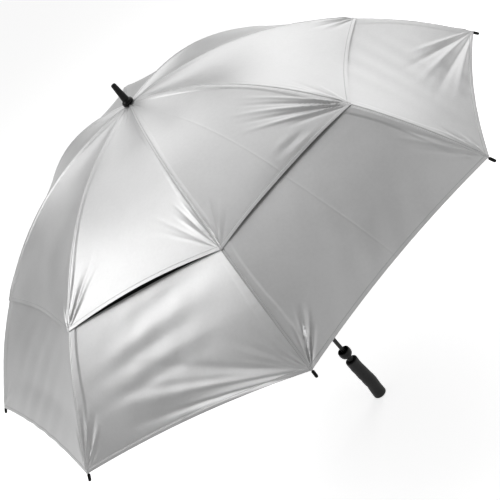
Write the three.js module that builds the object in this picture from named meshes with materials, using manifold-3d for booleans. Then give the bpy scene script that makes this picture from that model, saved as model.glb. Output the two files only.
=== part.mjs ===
import * as THREE from 'three';
import { mergeVertices } from 'three/addons/utils/BufferGeometryUtils.js';
import Module from 'manifold-3d';

const wasm = await Module();
wasm.setup();

// Golf umbrella with a vented double canopy, open. Millimetres, +Z along the shaft towards the
// ferrule, origin at the flat end of the grip.

// Canopy
const RIB_COUNT = 8;
const RIM_RADIUS = 667;
const RIM_HEIGHT = 602;
const DOME_RISE = 359.3;
const DOME_POWER = 2.3;
const VENT_RADIUS = 480;
const SKIRT_START_RADIUS = 430;
const CROWN_HOLE_RADIUS = 6.5;
const CLOTH_THICKNESS = 1.2;
const SKIRT_DROP = 2.0;
const TOP_SAG = 5;
const SKIRT_SAG_AT_VENT = 12;
const SKIRT_SAG_AT_RIM = 5;
const TOP_HEM_HOLLOW = 10;
const SKIRT_HEM_HOLLOW = 8;
const CREASE_GAP = 0.2;

// Ribs
const ROD_RADIUS = 1.8;
const ROD_DROP = 5.8;
const ROD_START_RADIUS = 17.5;
const FLEX_GAP = 1.3;
const NOTCH_PIVOT = { r: 11, z: 954 };
const BRACKET_RADIUS = 335;
const BRACKET_DROP = 9;
const TIP_LENGTH = 14;
const TIP_RADIUS = 3.2;
const TIP_SHOULDER = 11;
const TIP_CLEARANCE = 0.5;
const ROD_IN_TIP = 8;
const EYE_RADIUS = 2.4;
const EYE_THICKNESS = 2;
const BLADE_HEIGHT = 2.8;
const COLLAR_RADIUS = 2.6;
const COLLAR_LENGTH = 14;
const LUG_HALF_WIDTH = 2.2;
const PIN_RADIUS = 1;
const PIN_END = 7.3;
const PIN_HEAD = { radius: 1.9, from: 6.4 };

// Runner and stretchers
const RUNNER_PIVOT = { r: 15, z: 749 };
const RUNNER_FLANGE_RADIUS = 12.2;
const RUNNER_SLEEVE_RADIUS = 10;
const RUNNER_TOP = 757;
const RUNNER_BOTTOM = 700;
const STRETCHER_RADIUS = 1.6;
const STRETCHER_SIDE = 4.9;
const OUTER_EYE_RADIUS = 3.2;
const INNER_EYE_RADIUS = 2.5;
const PIN_HOLE_RADIUS = 1.4;
const WIRE_HOLE_RADIUS = 0.8;

// Shaft, ferrule and handle
const SHAFT_RADIUS = 5;
const SHAFT_BORE = 4.2;
const SHAFT_BOTTOM = 26;
const SHAFT_TOP = 984.5;
const SLIDE_FIT = 0.4;
const SEAT_FIT = 0.3;
const FERRULE_BOTTOM = 961.7;
const FERRULE_TOP = 1013.7;
const NOTCH_BOTTOM = 949.5;
const NOTCH_TOP = 958.6;
const NOTCH_RADIUS = 15;
const NOTCH_SLOT = { width: 2.8, length: 10, height: 14, from: 7.8 };
const WIRE_RADIUS = 0.55;
const WIRE_GROOVE_RADIUS = 1;
const CUP_BOTTOM = 143.5;
const CUP_MOUTH = 165.2;
const GRIP_TOP = 131;
const GRIP_SKIN_FROM = 13;
const PALM_SWELL = { height: 46, reach: 24, shift: 2 };
const THUMB_DIP = { height: 110, reach: 16, shift: -1.2 };
const GROOVE_HEIGHTS = [42, 67, 92, 115];
const GROOVE_RADIUS = 16;
const GROOVE_OFFSET = 30.8;

// Spring catches, in the plane half way between two ribs
const CATCH_ANGLE = Math.PI / RIB_COUNT;
const CATCH_REACH = 8;
const CATCH_THICKNESS = 1.6;
const CATCH_HEIGHTS = { top_catch: 698.5, bottom_catch: 257 };
const CATCH_NOSE = 14;
const CATCH_LEAF = { from: 1.2, to: 3.2, length: 40 };
const CATCH_SLOT_WIDTH = 2.4;
const KEYWAY_RADIUS = 8.9;
const KEYWAY_WIDTH = 3.4;

function finish(color, roughness, metalness) {
  return new THREE.MeshStandardMaterial({ color, roughness, metalness });
}

const FINISHES = {
  cloth: finish(0xc9cacc, 0.42, 0.35),
  rod: finish(0x17181a, 0.4, 0.0),
  steel: finish(0x8d9094, 0.35, 0.9),
  shaft: finish(0x141416, 0.35, 0.2),
  plastic: finish(0x121214, 0.45, 0.0),
  rubber: finish(0x1d1d1f, 0.8, 0.0),
};

// Booleans

function toSolid(geometry) {
  const bare = geometry.clone();
  bare.deleteAttribute('normal');
  bare.deleteAttribute('uv');
  const merged = mergeVertices(bare, 1e-4);
  const vertProperties = new Float32Array(merged.attributes.position.array);
  const triVerts = new Uint32Array(merged.index.array);
  return new wasm.Manifold(new wasm.Mesh({ numProp: 3, vertProperties, triVerts }));
}

function toGeometry(solid) {
  const mesh = solid.getMesh();
  const geometry = new THREE.BufferGeometry();
  geometry.setAttribute('position', new THREE.BufferAttribute(new Float32Array(mesh.vertProperties), 3));
  geometry.setIndex(new THREE.BufferAttribute(new Uint32Array(mesh.triVerts), 1));
  geometry.computeVertexNormals();
  return geometry;
}

function build(added, cut = []) {
  let solid = toSolid(added[0]);
  for (const geometry of added.slice(1)) {
    solid = solid.add(toSolid(geometry));
  }
  for (const geometry of cut) {
    solid = solid.subtract(toSolid(geometry));
  }
  return toGeometry(solid);
}

// Shapes in the plane of a rib: x is the distance from the shaft, y is sideways, z is up

function slopeAngle(r) {
  return Math.atan((DOME_RISE * DOME_POWER / RIM_RADIUS) * (r / RIM_RADIUS) ** (DOME_POWER - 1));
}

function domeHeight(r) {
  return RIM_HEIGHT + DOME_RISE * (1 - (r / RIM_RADIUS) ** DOME_POWER);
}

function underDome(r, drop) {
  const angle = slopeAngle(r);
  return new THREE.Vector3(r - drop * Math.sin(angle), 0, domeHeight(r) - drop * Math.cos(angle));
}

function alongDome(r) {
  const angle = slopeAngle(r);
  return new THREE.Vector3(Math.cos(angle), 0, -Math.sin(angle));
}

function barBetween(from, to, radius, sides) {
  const axis = to.clone().sub(from);
  const bar = new THREE.CylinderGeometry(radius, radius, axis.length(), sides);
  return laidAlong(bar, from.clone().add(to).multiplyScalar(0.5), axis);
}

// Turns a shape made about +Y to lie along a direction, with its middle at a point
function laidAlong(geometry, middle, direction) {
  const upright = new THREE.Vector3(0, 1, 0);
  const turn = new THREE.Quaternion().setFromUnitVectors(upright, direction.clone().normalize());
  return geometry.applyQuaternion(turn).translate(middle.x, middle.y, middle.z);
}

function crossPin(at, radius, fromY, toY, sides) {
  const pin = new THREE.CylinderGeometry(radius, radius, toY - fromY, sides);
  return pin.translate(at.x, (fromY + toY) / 2, at.z);
}

function turned(points, sides) {
  const outline = points.map(([r, z]) => new THREE.Vector2(r, z));
  return new THREE.LatheGeometry(outline, sides).rotateX(Math.PI / 2);
}

class RodLine extends THREE.Curve {
  constructor(startRadius, endRadius) {
    super();
    this.startRadius = startRadius;
    this.endRadius = endRadius;
  }

  getPoint(t) {
    const r = this.startRadius + (this.endRadius - this.startRadius) * t;
    return underDome(r, ROD_DROP);
  }
}

function bentRod(line, steps) {
  const section = new THREE.Shape();
  section.absarc(0, 0, ROD_RADIUS, 0, 2 * Math.PI);
  const options = { steps, extrudePath: line, curveSegments: 3, bevelEnabled: false };
  return new THREE.ExtrudeGeometry(section, options);
}

// Ribs

const notchPivot = new THREE.Vector3(NOTCH_PIVOT.r, 0, NOTCH_PIVOT.z);
const bracketPivot = underDome(BRACKET_RADIUS, BRACKET_DROP);
const runnerPivot = new THREE.Vector3(RUNNER_PIVOT.r, 0, RUNNER_PIVOT.z);

// The rod from the notch to the vent, with its hinge eye and the clamp that holds its stretcher
function innerRib() {
  const rod = bentRod(new RodLine(ROD_START_RADIUS, VENT_RADIUS - FLEX_GAP), 8);
  const rodStart = underDome(ROD_START_RADIUS + 1.5, ROD_DROP);
  const blade = new THREE.BoxGeometry(EYE_THICKNESS, rodStart.distanceTo(notchPivot), BLADE_HEIGHT);
  laidAlong(blade, notchPivot.clone().add(rodStart).multiplyScalar(0.5), rodStart.clone().sub(notchPivot));
  const eye = crossPin(notchPivot, EYE_RADIUS, -EYE_THICKNESS / 2, EYE_THICKNESS / 2, 10);
  const wireHole = crossPin(notchPivot, WIRE_GROOVE_RADIUS, -EYE_THICKNESS, EYE_THICKNESS, 6);
  const collar = new THREE.CylinderGeometry(COLLAR_RADIUS, COLLAR_RADIUS, COLLAR_LENGTH, 8);
  laidAlong(collar, underDome(BRACKET_RADIUS, ROD_DROP), alongDome(BRACKET_RADIUS));
  const lug = crossPin(bracketPivot, EYE_RADIUS, -LUG_HALF_WIDTH, LUG_HALF_WIDTH, 8);
  const pin = crossPin(bracketPivot, PIN_RADIUS, 0, PIN_END - 0.3, 6);
  const pinHead = crossPin(bracketPivot, PIN_HEAD.radius, PIN_HEAD.from, PIN_END, 8);
  return build([rod, blade, eye, collar, lug, pin, pinHead], [wireHole]);
}

function outerRib() {
  const rod = bentRod(new RodLine(VENT_RADIUS + FLEX_GAP, RIM_RADIUS), 4);
  const corner = underDome(RIM_RADIUS, ROD_DROP);
  const overlap = corner.clone().addScaledVector(alongDome(RIM_RADIUS), -1);
  const end = corner.clone().addScaledVector(alongDome(RIM_RADIUS), ROD_IN_TIP);
  return build([rod, barBetween(overlap, end, ROD_RADIUS - 0.1, 6)]);
}

function tipCap() {
  const bore = ROD_RADIUS + SEAT_FIT;
  const depth = ROD_IN_TIP + SEAT_FIT;
  const profile = [
    [0, depth], [bore, depth], [bore, 0], [TIP_RADIUS, 0], [TIP_RADIUS, TIP_SHOULDER],
    [TIP_RADIUS - 0.7, TIP_LENGTH - 1], [TIP_RADIUS - 1.8, TIP_LENGTH], [0, TIP_LENGTH],
  ];
  const outline = profile.map(([r, along]) => new THREE.Vector2(r, along));
  const start = underDome(RIM_RADIUS, ROD_DROP).addScaledVector(alongDome(RIM_RADIUS), TIP_CLEARANCE);
  return laidAlong(new THREE.LatheGeometry(outline, 8), start, alongDome(RIM_RADIUS));
}

function stretcher() {
  const side = new THREE.Vector3(0, STRETCHER_SIDE, 0);
  const away = bracketPivot.clone().sub(runnerPivot).normalize();
  const low = runnerPivot.clone().add(side).addScaledVector(away, STRETCHER_RADIUS);
  const high = bracketPivot.clone().add(side).addScaledVector(away, -EYE_RADIUS);
  const rod = barBetween(low, high, STRETCHER_RADIUS, 6);
  const near = STRETCHER_SIDE - EYE_THICKNESS / 2;
  const far = STRETCHER_SIDE + EYE_THICKNESS / 2;
  const outerEye = crossPin(bracketPivot, OUTER_EYE_RADIUS, near, far, 10);
  const innerEye = crossPin(runnerPivot, INNER_EYE_RADIUS, near, far, 10);
  const pinHole = crossPin(bracketPivot, PIN_HOLE_RADIUS, near - 1, far + 1, 6);
  const wireHole = crossPin(runnerPivot, WIRE_HOLE_RADIUS, near - 1, far + 1, 6);
  return build([rod, outerEye, innerEye], [pinHole, wireHole]);
}

// Canopy: each petal of cloth runs from one crease, over its rib, to the next crease

const HALF_PANEL = Math.PI / RIB_COUNT;
const CHORD_PULL = (1 - Math.cos(2 * HALF_PANEL)) / 2;
const CHORD_SIDE = Math.sin(2 * HALF_PANEL) / 2;

function clothPoint(r, across, drop) {
  const reach = Math.abs(across);
  const angle = slopeAngle(r);
  const turn = HALF_PANEL * across;
  const inward = new THREE.Vector3(-Math.cos(turn), -Math.sin(turn), 0);
  const down = inward.multiplyScalar(Math.sin(angle)).setZ(-Math.cos(angle));
  const point = new THREE.Vector3(r * (1 - CHORD_PULL * reach), r * CHORD_SIDE * across, domeHeight(r));
  point.x += CREASE_GAP * reach * Math.sin(HALF_PANEL);
  point.y -= CREASE_GAP * across * Math.cos(HALF_PANEL);
  return point.addScaledVector(down, drop);
}

function petal({ startRadius, endRadius, hollow, drop, sag, rows }) {
  const cloth = new THREE.BoxGeometry(2, 1, 1, 4, rows, 1);
  const place = cloth.attributes.position;
  for (let i = 0; i < place.count; i += 1) {
    const across = -place.getX(i);
    const along = place.getY(i) + 0.5;
    const layer = place.getZ(i) > 0 ? 0 : CLOTH_THICKNESS;
    const fullness = 1 - (1 - Math.abs(across)) ** 2;
    const r = startRadius + (endRadius - hollow * fullness - startRadius) * along;
    const point = clothPoint(r, across, drop + layer + sag(along) * fullness);
    place.setXYZ(i, point.x, point.y, point.z);
  }
  return cloth;
}

function topPetal() {
  const sag = (along) => TOP_SAG * Math.sin(Math.PI * along);
  return petal({
    startRadius: CROWN_HOLE_RADIUS,
    endRadius: VENT_RADIUS,
    hollow: TOP_HEM_HOLLOW,
    drop: 0,
    sag,
    rows: 8,
  });
}

function skirtPetal() {
  const sag = (along) => SKIRT_SAG_AT_VENT + (SKIRT_SAG_AT_RIM - SKIRT_SAG_AT_VENT) * along;
  return petal({
    startRadius: SKIRT_START_RADIUS,
    endRadius: RIM_RADIUS,
    hollow: SKIRT_HEM_HOLLOW,
    drop: SKIRT_DROP,
    sag,
    rows: 5,
  });
}

// Crown

function crownNotch() {
  const bore = SHAFT_RADIUS + SEAT_FIT;
  const blank = turned([
    [bore, NOTCH_BOTTOM], [NOTCH_RADIUS - 1.4, NOTCH_BOTTOM], [NOTCH_RADIUS, NOTCH_BOTTOM + 1.5],
    [NOTCH_RADIUS, NOTCH_TOP - 1.2], [NOTCH_RADIUS - 1.2, NOTCH_TOP], [bore, NOTCH_TOP], [bore, NOTCH_BOTTOM],
  ], 24);
  const slots = [];
  for (let i = 0; i < RIB_COUNT; i += 1) {
    const slot = new THREE.BoxGeometry(NOTCH_SLOT.length, NOTCH_SLOT.width, NOTCH_SLOT.height);
    slot.translate(NOTCH_SLOT.from + NOTCH_SLOT.length / 2, 0, NOTCH_PIVOT.z);
    slots.push(slot.rotateZ(2 * HALF_PANEL * i));
  }
  const wireGroove = new THREE.TorusGeometry(NOTCH_PIVOT.r, WIRE_GROOVE_RADIUS, 6, 24);
  wireGroove.translate(0, 0, NOTCH_PIVOT.z);
  return build([blank], [...slots, wireGroove]);
}

function crownWire() {
  return new THREE.TorusGeometry(NOTCH_PIVOT.r, WIRE_RADIUS, 4, 24).translate(0, 0, NOTCH_PIVOT.z);
}

// Shaft assembly

function shaftTube() {
  const tube = turned([
    [SHAFT_BORE, SHAFT_BOTTOM], [SHAFT_RADIUS, SHAFT_BOTTOM], [SHAFT_RADIUS, SHAFT_TOP],
    [SHAFT_BORE, SHAFT_TOP], [SHAFT_BORE, SHAFT_BOTTOM],
  ], 16);
  const slots = Object.values(CATCH_HEIGHTS).map((top) => {
    const slot = new THREE.BoxGeometry(SHAFT_RADIUS + 1, CATCH_SLOT_WIDTH, CATCH_NOSE + 3);
    return slot.translate(SHAFT_RADIUS, 0, top - CATCH_NOSE / 2).rotateZ(CATCH_ANGLE);
  });
  return build([tube], slots);
}

// A leaf inside the shaft whose wedge comes out through the slot
function springCatch(top) {
  const side = new THREE.Shape();
  side.moveTo(CATCH_LEAF.from, top - CATCH_LEAF.length);
  side.lineTo(CATCH_LEAF.to, top - CATCH_LEAF.length);
  side.lineTo(CATCH_LEAF.to, top - CATCH_NOSE);
  side.lineTo(CATCH_REACH, top - 3);
  side.lineTo(CATCH_REACH, top);
  side.lineTo(CATCH_LEAF.from, top);
  side.closePath();
  const leaf = new THREE.ExtrudeGeometry(side, { depth: CATCH_THICKNESS, bevelEnabled: false });
  return leaf.translate(0, 0, -CATCH_THICKNESS / 2).rotateX(Math.PI / 2);
}

function runnerSleeve() {
  const bore = SHAFT_RADIUS + SLIDE_FIT;
  const foot = RUNNER_SLEEVE_RADIUS + 1.4;
  const body = turned([
    [bore, RUNNER_BOTTOM], [foot, RUNNER_BOTTOM], [foot, RUNNER_BOTTOM + 4],
    [RUNNER_SLEEVE_RADIUS, RUNNER_BOTTOM + 8], [RUNNER_SLEEVE_RADIUS, RUNNER_TOP - 16],
    [RUNNER_FLANGE_RADIUS, RUNNER_TOP - 13], [RUNNER_FLANGE_RADIUS, RUNNER_TOP - 1],
    [RUNNER_FLANGE_RADIUS - 1, RUNNER_TOP], [bore, RUNNER_TOP], [bore, RUNNER_BOTTOM],
  ], 20);
  const keyway = new THREE.BoxGeometry(KEYWAY_RADIUS - 3, KEYWAY_WIDTH, RUNNER_TOP - RUNNER_BOTTOM + 4);
  keyway.translate((KEYWAY_RADIUS + 3) / 2, 0, (RUNNER_TOP + RUNNER_BOTTOM) / 2).rotateZ(CATCH_ANGLE);
  return build([body], [keyway]);
}

function ferrule() {
  const bore = SHAFT_RADIUS + SEAT_FIT;
  const boreTop = SHAFT_TOP + SEAT_FIT;
  const low = FERRULE_BOTTOM;
  const high = FERRULE_TOP;
  return turned([
    [0, boreTop], [bore, boreTop], [bore, low], [12.2, low], [12.7, low + 1], [12.7, low + 5.5],
    [11.6, low + 8], [8.6, low + 9.6], [8.1, low + 12], [5.5, high - 1.6], [4.4, high - 0.4],
    [2.6, high], [0, high],
  ], 20);
}

function tipCup() {
  const bore = SHAFT_RADIUS + SEAT_FIT;
  const low = CUP_BOTTOM;
  const mouth = CUP_MOUTH;
  return turned([
    [bore, low], [8.2, low], [11.8, low + 1.6], [14.7, low + 5.2], [16, low + 10], [16.2, low + 14.5],
    [15.7, mouth - 2.5], [14.7, mouth], [13.7, mouth], [13.9, low + 15], [13.2, low + 9],
    [10.6, low + 4.8], [bore, low + 3.8], [bore, low],
  ], 24);
}

function neckCollar() {
  const bore = SHAFT_RADIUS + SEAT_FIT;
  const low = GRIP_TOP - 7;
  const high = CUP_BOTTOM - SEAT_FIT;
  return turned([
    [bore, low], [8.2, low], [7.8, GRIP_TOP], [7.2, high - 3.7], [7.6, high], [bore, high], [bore, low],
  ], 16);
}

// How far the grip's skin stands off the shaft's axis, toward +X, at a height
function gripShift(height) {
  const shifts = [PALM_SWELL, THUMB_DIP].map(({ height: middle, reach, shift }) => {
    return shift * Math.exp(-(((height - middle) / reach) ** 2));
  });
  return shifts[0] + shifts[1];
}

function shaped(body) {
  const places = body.attributes.position;
  for (let i = 0; i < places.count; i += 1) {
    if (Math.hypot(places.getX(i), places.getY(i)) > GRIP_SKIN_FROM) {
      places.setX(i, places.getX(i) + gripShift(places.getZ(i)));
    }
  }
  return body;
}

// Rubber grip: a turned body shaped to the palm, with a recess at the top for the collar and finger
// grooves on one side
function grip() {
  const bore = SHAFT_RADIUS + SEAT_FIT;
  const recess = GRIP_TOP - 7.6;
  const tubeEnd = SHAFT_BOTTOM - 4;
  const body = turned([
    [0, 0], [9, 0], [14.6, 0.9], [16.4, 2.6], [16.8, 6], [16.6, 14], [16.1, 24], [16, 34], [16.5, 46],
    [16.6, 56], [16.2, 74], [15.8, 92], [15.6, 108], [15.7, 120], [15.9, 127], [15.3, 130],
    [13.6, GRIP_TOP], [9.6, GRIP_TOP - 1.2],
    [9, recess], [bore, recess], [bore, tubeEnd], [0, tubeEnd],
  ], 24);
  const grooves = GROOVE_HEIGHTS.map((height) => {
    const groove = new THREE.CylinderGeometry(GROOVE_RADIUS, GROOVE_RADIUS, 40, 20);
    return groove.translate(gripShift(height) - GROOVE_OFFSET, 0, height);
  });
  return build([shaped(body)], grooves);
}

// Assembly

const umbrella = new THREE.Group();

function place(parent, name, geometry, material) {
  const mesh = new THREE.Mesh(geometry, material);
  mesh.name = name;
  parent.add(mesh);
}

place(umbrella, 'shaft_tube', shaftTube(), FINISHES.shaft);
place(umbrella, 'ferrule', ferrule(), FINISHES.plastic);
place(umbrella, 'crown_notch', crownNotch(), FINISHES.plastic);
place(umbrella, 'crown_wire', crownWire(), FINISHES.steel);
place(umbrella, 'tip_cup', tipCup(), FINISHES.plastic);
place(umbrella, 'neck_collar', neckCollar(), FINISHES.plastic);
place(umbrella, 'grip', grip(), FINISHES.rubber);
place(umbrella, 'runner', runnerSleeve(), FINISHES.plastic);

const catches = new THREE.Group();
catches.rotation.z = CATCH_ANGLE;
for (const [name, top] of Object.entries(CATCH_HEIGHTS)) {
  place(catches, name, springCatch(top), FINISHES.steel);
}
umbrella.add(catches);

const arm = {
  rib_inner: [innerRib(), FINISHES.rod],
  rib_outer: [outerRib(), FINISHES.rod],
  tip_cap: [tipCap(), FINISHES.plastic],
  stretcher: [stretcher(), FINISHES.steel],
  canopy_top: [topPetal(), FINISHES.cloth],
  canopy_skirt: [skirtPetal(), FINISHES.cloth],
};
for (let i = 0; i < RIB_COUNT; i += 1) {
  const sector = new THREE.Group();
  sector.rotation.z = 2 * HALF_PANEL * i;
  for (const [name, [geometry, material]] of Object.entries(arm)) {
    place(sector, `${name}_${i + 1}`, geometry, material);
  }
  umbrella.add(sector);
}

export default umbrella;
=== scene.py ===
import math

import bpy
import numpy as np
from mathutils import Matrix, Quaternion, Vector


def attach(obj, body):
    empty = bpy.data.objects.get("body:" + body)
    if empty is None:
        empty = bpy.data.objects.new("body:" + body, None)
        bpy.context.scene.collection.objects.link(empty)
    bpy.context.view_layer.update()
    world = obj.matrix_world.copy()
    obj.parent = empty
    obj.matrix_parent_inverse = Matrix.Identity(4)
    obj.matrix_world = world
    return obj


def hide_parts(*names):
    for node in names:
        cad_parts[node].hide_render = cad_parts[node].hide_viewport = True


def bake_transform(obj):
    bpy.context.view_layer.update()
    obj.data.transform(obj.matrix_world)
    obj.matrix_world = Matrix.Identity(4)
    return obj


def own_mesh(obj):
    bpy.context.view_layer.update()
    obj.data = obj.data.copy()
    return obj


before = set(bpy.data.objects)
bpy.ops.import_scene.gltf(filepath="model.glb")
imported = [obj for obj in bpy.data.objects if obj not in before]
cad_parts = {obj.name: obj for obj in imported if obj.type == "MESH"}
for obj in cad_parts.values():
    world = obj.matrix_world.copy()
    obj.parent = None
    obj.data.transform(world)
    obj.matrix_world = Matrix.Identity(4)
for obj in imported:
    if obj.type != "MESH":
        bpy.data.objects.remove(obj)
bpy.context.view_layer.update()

# ---------------------------------------------------------------- driving sizes, in metres

MM = 0.001
RIBS = 8
SECTOR = 2 * math.pi / RIBS
HALF_PANEL = math.pi / RIBS
RIM_RADIUS = 667 * MM
RIM_HEIGHT = 602 * MM
DOME_RISE = 359.3 * MM
DOME_POWER = 2.3
VENT_RADIUS = 480 * MM
SKIRT_START = 430 * MM
CROWN_HOLE = 6.5 * MM
CHORD_PULL = (1 - math.cos(SECTOR)) / 2
CHORD_SIDE = math.sin(SECTOR) / 2
CLOTH = 0.4 * MM
TOP_DROP = 0.4 * MM
SKIRT_DROP = 2.4 * MM
TOP_SAG = 5 * MM
SKIRT_SAGS = (12 * MM, 5 * MM)
TOP_HOLLOW = 10 * MM
SKIRT_HOLLOW = 8 * MM
CROWN_HOLLOW = 8 * MM
CROWN_HOLLOW_RADIUS = 135 * MM
CROWN_HOLLOW_REACH = 105 * MM
TOP_ROWS, TOP_COLUMNS = 170, 48
SKIRT_ROWS, SKIRT_COLUMNS = 120, 64
ROD_DROP = 5.8 * MM
ROD_RADIUS = 1.8 * MM

ROD_START = 17.5 * MM
FLEX_RADIUS = 480 * MM
FLEX_REACH = 45 * MM
BRACKET_RADIUS = 335 * MM
BRACKET_DROP = 9 * MM
STRETCHER_SIDE = 4.9 * MM
RUNNER_PIVOT = Vector((15 * MM, 0, 749 * MM))
NOTCH_PIVOT = Vector((11 * MM, 0, 954 * MM))

# ---------------------------------------------------------------- camera

CAMERA_PLACE = Vector((0.2080, -2.2444, 1.6128))
CAMERA_AIM = Vector((0.0074, -0.1827, 0.6134))
CAMERA_ROLL = math.radians(-41.03)
CAMERA_LENS = 80.7


def make_camera():
    bpy.ops.object.camera_add(location=CAMERA_PLACE)
    camera = bpy.context.object
    camera.name = "camera"
    camera.data.sensor_width = 36
    camera.data.lens = CAMERA_LENS
    camera.data.clip_end = 200
    camera.rotation_mode = "QUATERNION"
    level = (CAMERA_AIM - CAMERA_PLACE).to_track_quat("-Z", "Y")
    camera.rotation_quaternion = level @ Quaternion((0, 0, 1), CAMERA_ROLL)
    bpy.context.scene.camera = camera


def clear_selection():
    if bpy.context.object and bpy.context.object.mode != "OBJECT":
        bpy.ops.object.mode_set(mode="OBJECT")
    bpy.ops.object.select_all(action="DESELECT")


make_camera()

# ---------------------------------------------------------------- shader maths


class Wire:
    """A socket in a material's node tree, with arithmetic."""

    def __init__(self, tree, socket):
        self.tree = tree
        self.socket = socket

    def node(self, kind, settings=None, inputs=None, out=0):
        made = self.tree.nodes.new(kind)
        for name, value in (settings or {}).items():
            setattr(made, name, value)
        for key, value in (inputs or {}).items():
            if isinstance(value, Wire):
                self.tree.links.new(value.socket, made.inputs[key])
            else:
                made.inputs[key].default_value = value
        return Wire(self.tree, made.outputs[out])

    def maths(self, operation, *values):
        return self.node("ShaderNodeMath", {"operation": operation}, dict(enumerate(values)))

    def __add__(self, other):
        return self.maths("ADD", self, other)

    __radd__ = __add__

    def __sub__(self, other):
        return self.maths("SUBTRACT", self, other)

    def __rsub__(self, other):
        return self.maths("SUBTRACT", other, self)

    def __mul__(self, other):
        return self.maths("MULTIPLY", self, other)

    __rmul__ = __mul__

    def __truediv__(self, other):
        return self.maths("DIVIDE", self, other)

    def __abs__(self):
        return self.maths("ABSOLUTE", self)

    def fraction(self):
        return self.maths("FRACT", self)

    def sine(self):
        return self.maths("SINE", self)

    def between(self, low, high):
        """0 below low, 1 above high, smooth in between."""
        settings = {"interpolation_type": "SMOOTHSTEP"}
        return self.node("ShaderNodeMapRange", settings, {0: self, 1: low, 2: high, 3: 0.0, 4: 1.0})

    def blend(self, low, high):
        """A colour between two colours, by this factor."""
        settings = {"data_type": "RGBA"}
        return self.node("ShaderNodeMix", settings, {0: self, 6: low, 7: high}, out=2)

    def noise(self, scale, detail=2.0, roughness=0.5):
        inputs = {"Vector": self, "Scale": scale, "Detail": detail, "Roughness": roughness}
        return self.node("ShaderNodeTexNoise", None, inputs)

    def axis(self, index):
        return self.node("ShaderNodeSeparateXYZ", None, {0: self}, out=index)


def grey(value):
    return (value, value, value, 1.0)


def new_material(name, **shader):
    """A principled material, its wire helper, and the shader node."""
    material = bpy.data.materials.new(name)
    material.use_nodes = True
    tree = material.node_tree
    principled = tree.nodes["Principled BSDF"]
    for key, value in shader.items():
        principled.inputs[key.replace("_", " ")].default_value = value
    wire = Wire(tree, tree.nodes.new("ShaderNodeTexCoord").outputs["Object"])
    return material, wire, principled


def feed(principled, name, wire):
    wire.tree.links.new(wire.socket, principled.inputs[name])


def bump(principled, height, distance, strength=1.0):
    inputs = {"Height": height, "Distance": distance, "Strength": strength}
    feed(principled, "Normal", height.node("ShaderNodeBump", None, inputs))


# ---------------------------------------------------------------- materials

WEAVE_PITCH = 0.6 * MM
STITCH_PITCH = 3.2 * MM
SEAM_STITCH = 2.6 * MM
HEM_STITCH = 7.5 * MM
# Painted shade under the vent: the lower cloth is painted black from this distance in from its hem, where
# it lies in the gap under the upper cloth's hem. The slack brings that start nearer the hem in the middle
# of a panel, and the edge softens it.
VENT_SHADE_FROM = 242 * MM
VENT_SHADE_SLACK = {5: 2.6 * MM}
VENT_SHADE_SLACK_MIDDLE, VENT_SHADE_SLACK_SPREAD = 0.46, 0.42
VENT_SHADE_EDGE = 1 * MM
THREAD_INSIDE, THREAD_OUTSIDE = 0.35 * MM, 0.7 * MM
CLOTH_BUMP = 0.25 * MM


def cloth_places(wire):
    """Distances across from the rib's seam and in from the hem, in metres, off the cloth's own map."""
    flat = wire.node("ShaderNodeUVMap", {"uv_map": "cloth"})
    return flat.axis(0), flat.axis(1)


def thread(distance, along, offset):
    """1 on the stitches of a row of sewing that runs at an offset from a seam or hem."""
    row = 1 - abs(abs(distance) - offset).between(THREAD_INSIDE, THREAD_OUTSIDE)
    dash = abs((along / STITCH_PITCH).fraction() - 0.5).between(0.08, 0.16)
    return row * dash

def weave(across, inward):
    """The crossed threads of the cloth, as a height."""
    return (across * (math.tau / WEAVE_PITCH)).sine() * (inward * (math.tau / WEAVE_PITCH)).sine()


def silver_cloth(name, with_vent_shade):
    """Silver coated cloth, sewn along its seams and hem. Near the top of the lower cloth, in the gap under
    the vent's overlapping hem, it is painted black as painted shade.
    """
    material, place, shader = new_material(name)
    across, inward = cloth_places(place)
    stitches = thread(across, inward, SEAM_STITCH) + thread(inward, across, HEM_STITCH)
    cloudy = place.noise(7.0, 3.0)
    fine = place.noise(160.0, 2.0)
    tone = (cloudy * 0.75 + fine * 0.25).between(0.3, 0.7)
    coated = tone.blend(grey(0.61), grey(0.67))
    sewn = stitches.blend(coated, grey(0.42))
    metal = 0.6 - stitches * 0.3
    if with_vent_shade:
        # Painted shade: black where the lower cloth lies in the gap under the vent's overlapping hem
        past_vent_shade_start = place.node("ShaderNodeUVMap", {"uv_map": "net"}).axis(0)
        net = past_vent_shade_start.between(0.0, VENT_SHADE_EDGE)
        sewn = net.blend(sewn, grey(0.006))
        metal = metal * (1 - net)
    feed(shader, "Base Color", sewn)
    feed(shader, "Metallic", metal)
    feed(shader, "Roughness", 0.36 + tone * 0.08 + stitches * 0.2)
    height = weave(across, inward) * 0.06 + fine * 0.35 + stitches
    bump(shader, height, CLOTH_BUMP, 0.6)
    return material


def dark_lining():
    material, place, shader = new_material("black_lining_cloth", Roughness=0.62, Metallic=0.0)
    across, inward = cloth_places(place)
    stitches = thread(across, inward, SEAM_STITCH) + thread(inward, across, HEM_STITCH)
    tone = place.noise(14.0, 3.0).between(0.3, 0.7)
    lining = tone.blend(grey(0.010), grey(0.017))
    feed(shader, "Base Color", stitches.blend(lining, grey(0.05)))
    feed(shader, "Roughness", 0.55 + tone * 0.12)
    bump(shader, weave(across, inward) * 0.1 + stitches, CLOTH_BUMP, 0.6)
    return material


def gloss_plastic(name, tone=0.004, roughness=0.22):
    shine = {"Specular_IOR_Level": 0.16, "Coat_Weight": 0.05, "Coat_Roughness": 0.12}
    material, place, shader = new_material(name, **shine)
    scuffs = place.noise(420.0, 3.0, 0.6)
    shade = scuffs.between(0.35, 0.75)
    feed(shader, "Base Color", shade.blend(grey(tone), grey(tone * 1.6)))
    feed(shader, "Roughness", roughness + shade * 0.12)
    bump(shader, place.noise(900.0, 2.0), 0.05 * MM, 0.3)
    return material


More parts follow.
